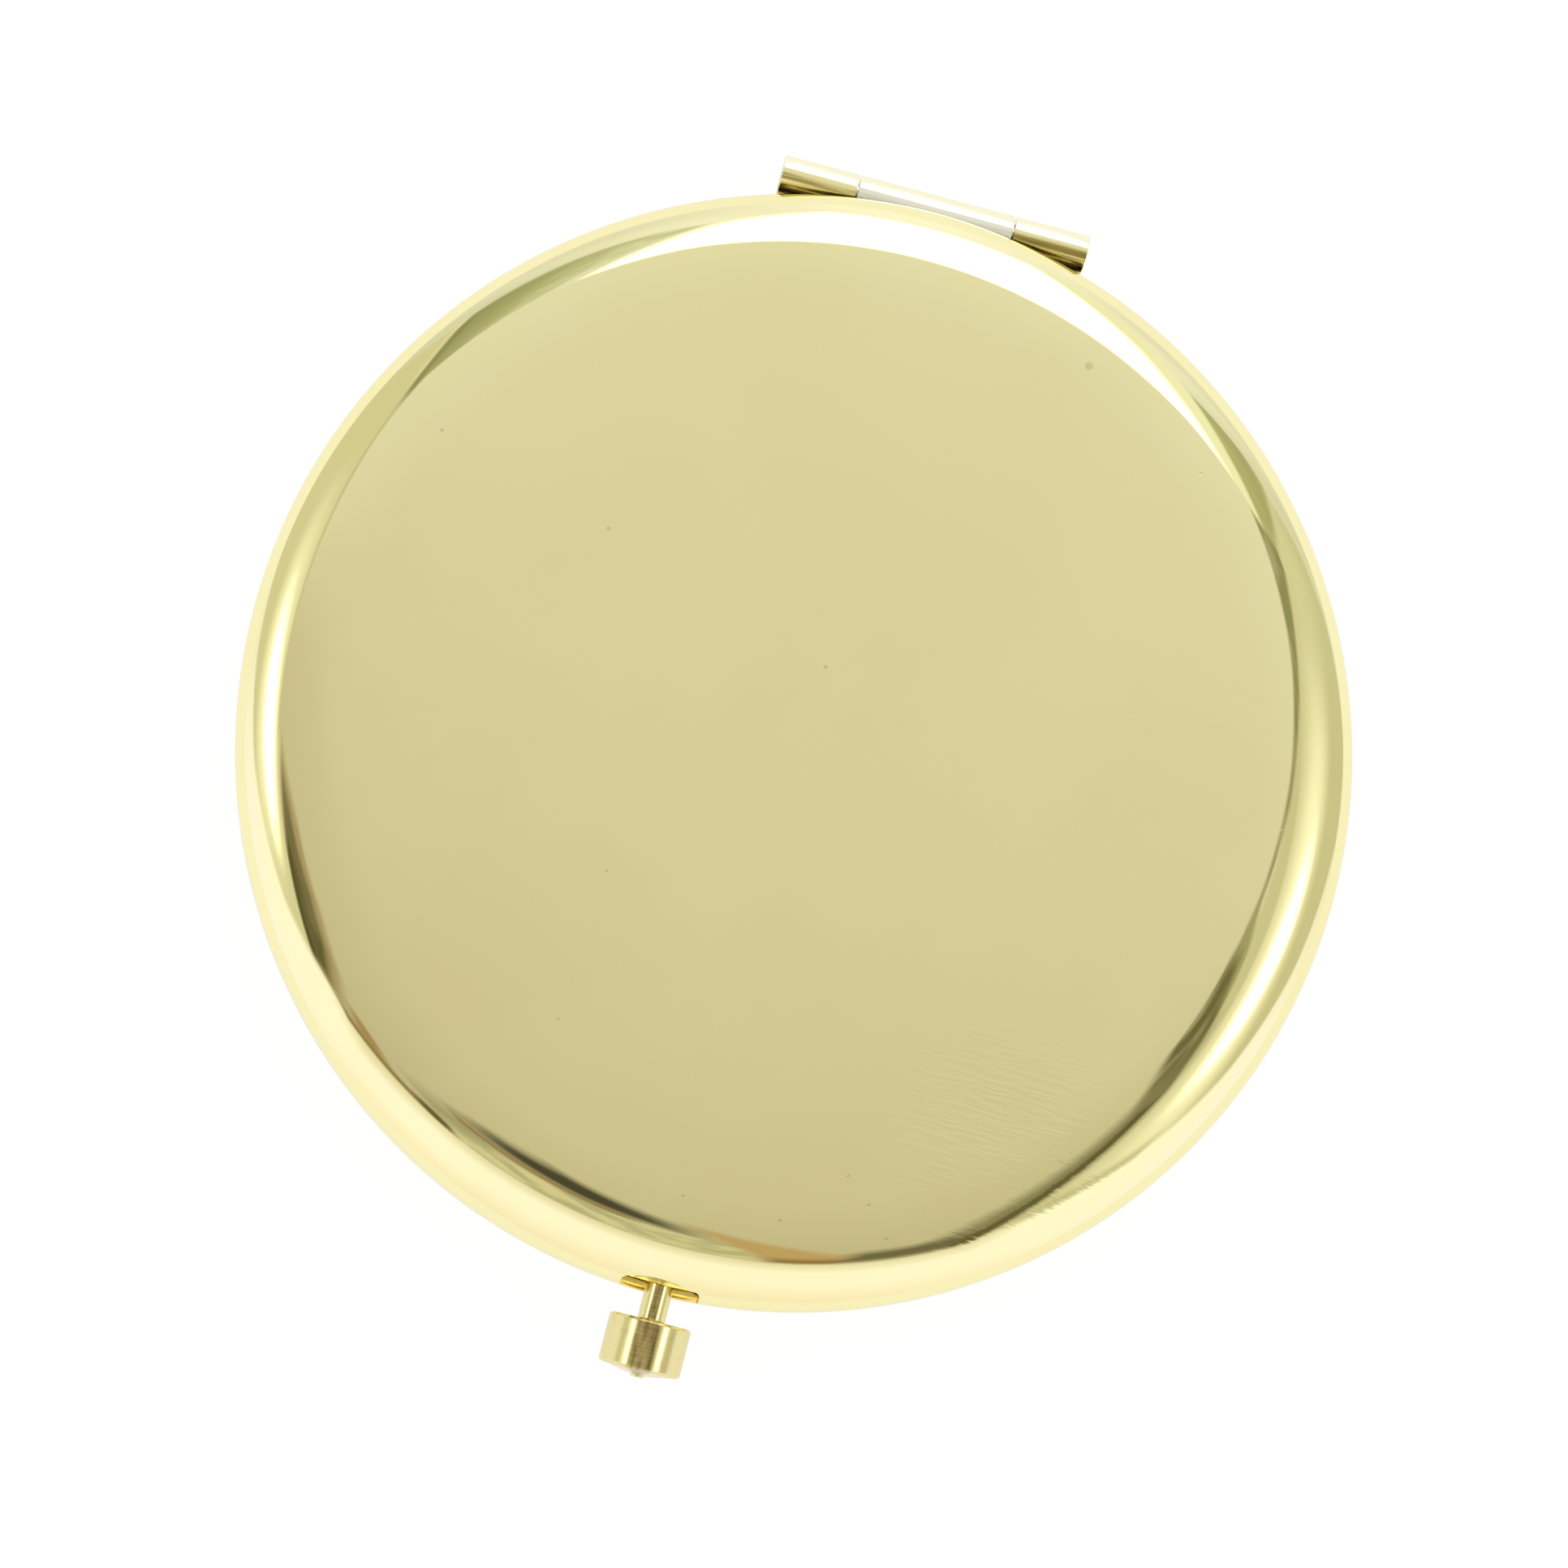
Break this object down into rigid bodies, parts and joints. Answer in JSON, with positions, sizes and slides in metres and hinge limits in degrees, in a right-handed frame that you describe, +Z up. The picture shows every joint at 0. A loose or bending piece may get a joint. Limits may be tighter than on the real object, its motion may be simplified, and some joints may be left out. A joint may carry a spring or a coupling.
{
  "type": "pocket mirror",
  "caption": "Round hinged pocket mirror in polished pale-gold metal, with a mirror in each half and a push-button catch at its edge.",
  "frame": {"origin": "centre of the flat underside of the base, the face that the shut case stands on", "axes": "+Z up out of the lid, +Y towards the hinge, -Y towards the push button, +X to the right when the button faces the user"},
  "size_m": [0.07, 0.0765, 0.0089],
  "materials": {
    "polished_gold": "mirror-polished pale gold plate",
    "ring_gold": "bright stamped ring, pale gold",
    "brass": "bent strip, deeper gold",
    "steel": "bright steel",
    "silvered_glass": "silvered glass",
    "foam": "soft foam with adhesive"
  },
  "bodies": {
    "base": {"base_shell": "polished_gold", "base_bezel_ring": "ring_gold", "base_hinge_knuckle_left": "polished_gold", "base_hinge_knuckle_right": "polished_gold", "latch_bracket": "brass", "hinge_pin": "steel", "return_spring": "steel", "base_hinge_rivet_left": "steel", "base_hinge_rivet_right": "steel", "bracket_rivet_left": "steel", "bracket_rivet_right": "steel", "base_mirror": "silvered_glass", "base_backing_pad": "foam"},
    "lid": {"lid_shell": "polished_gold", "lid_mirror": "silvered_glass", "lid_backing_pad": "foam", "lid_bezel_ring": "ring_gold", "lid_hinge_knuckle": "polished_gold", "lid_striker": "brass", "lid_hinge_rivet_left": "steel", "lid_hinge_rivet_right": "steel", "striker_rivet_left": "steel", "striker_rivet_right": "steel"},
    "button": {"push_button": "polished_gold", "latch_slide": "brass", "spring_washer": "steel"}
  },
  "joints": [
    {"name": "lid_hinge", "type": "hinge", "parent": "base", "child": "lid", "pos_m": [0, 0.0351, 0.00445], "axis": [-1, 0, 0], "range_deg": [0, 165]},
    {"name": "button_press", "type": "slide", "parent": "base", "child": "button", "axis": [0, 1, 0], "range_m": [0, 0.0012], "stiffness_N_per_m": 600, "springref_m": -0.0005, "deforming": ["return_spring"]}
  ]
}
